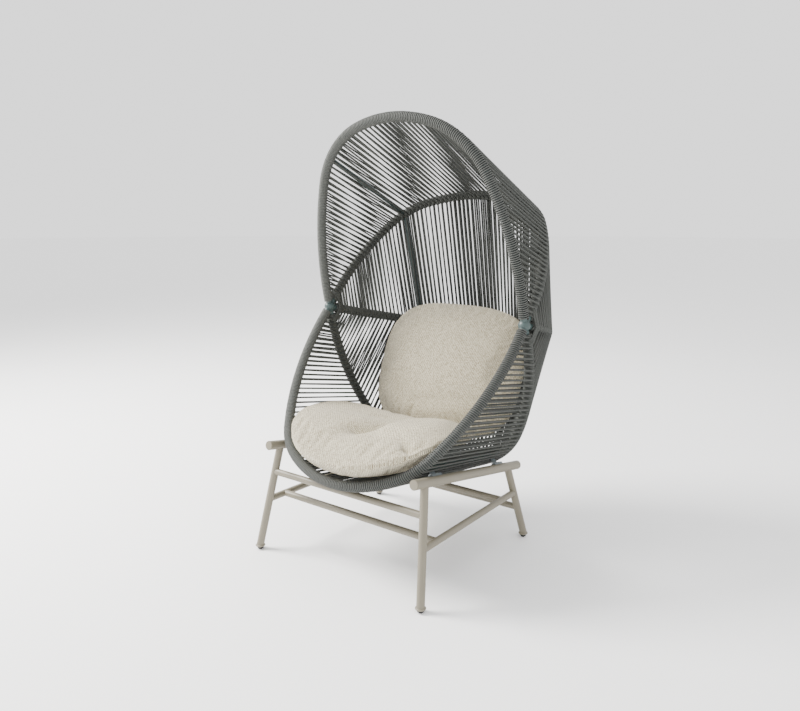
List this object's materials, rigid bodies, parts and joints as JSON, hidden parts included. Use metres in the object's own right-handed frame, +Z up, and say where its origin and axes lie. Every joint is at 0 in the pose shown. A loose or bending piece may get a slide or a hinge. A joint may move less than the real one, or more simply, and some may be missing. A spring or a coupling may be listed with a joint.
{
  "type": "hooded pod lounge chair",
  "caption": "Hooded pod armchair of rope-wrapped tube arches strung with cords, on a splayed tube base, with loose seat and back cushions.",
  "frame": {"origin": "on the floor, under the middle of the chair's bounding box", "axes": "+Z up, the chair's front faces -Y, +X towards the right as the chair is seen from its front"},
  "size_m": [0.8536, 0.9209, 1.4123],
  "materials": {
    "rope": "twisted rope cord, matt",
    "bare_frame": "powder coat, satin",
    "bracket_steel": "powder coat, satin",
    "base_paint": "powder coat, satin",
    "bolt_metal": "satin",
    "cushion_fabric": "coarse basket weave",
    "glide_plastic": "moulded"
  },
  "bodies": {
    "chair": {"hub_left": "bare_frame", "hub_right": "bare_frame", "hood_rim_tube": "bare_frame", "back_arch_tube": "bare_frame", "waist_arch_tube": "bare_frame", "lower_arch_tube": "bare_frame", "seat_rim_tube": "bare_frame", "hood_rim_wrap": "rope", "back_arch_wrap": "rope", "waist_arch_wrap": "rope", "lower_arch_wrap": "rope", "seat_rim_wrap": "rope", "hood_strut_left": "bare_frame", "hood_strut_right": "bare_frame", "back_strut_left": "bare_frame", "back_strut_right": "bare_frame", "lower_strut_left": "bare_frame", "lower_strut_right": "bare_frame", "seat_strut_left": "bare_frame", "seat_strut_right": "bare_frame", "hood_cords_outer": "rope", "hood_cords_inner": "rope", "back_cords_outer": "rope", "back_cords_inner": "rope", "lower_cords_outer": "rope", "lower_cords_inner": "rope", "seat_cords_outer": "rope", "seat_cords_inner": "rope", "bracket_front_left": "bracket_steel", "bracket_front_right": "bracket_steel", "bracket_rear_left": "bracket_steel", "bracket_rear_right": "bracket_steel", "bracket_bolts": "bolt_metal", "rail_left": "base_paint", "rail_right": "base_paint", "rail_end_discs": "base_paint", "leg_front_left": "base_paint", "leg_front_right": "base_paint", "leg_rear_left": "base_paint", "leg_rear_right": "base_paint", "stretcher_left": "base_paint", "stretcher_right": "base_paint", "front_upper_bar": "base_paint", "front_lower_bar": "base_paint", "rear_upper_bar": "base_paint", "rear_lower_bar": "base_paint", "collar_front_left": "base_paint", "collar_front_right": "base_paint", "collar_rear_left": "base_paint", "collar_rear_right": "base_paint", "glide_front_left": "glide_plastic", "glide_front_right": "glide_plastic", "glide_rear_left": "glide_plastic", "glide_rear_right": "glide_plastic"},
    "seat_cushion": {"seat_cushion": "cushion_fabric"},
    "back_cushion": {"back_cushion": "cushion_fabric"}
  },
  "joints": [
    {"name": "seat_cushion_lift", "type": "slide", "parent": "chair", "child": "seat_cushion", "axis": [0, -0.8, 0.6], "range_m": [0, 0.45]},
    {"name": "back_cushion_lift", "type": "slide", "parent": "chair", "child": "back_cushion", "axis": [0, -0.1961, 0.9806], "range_m": [0, 0.36]}
  ]
}
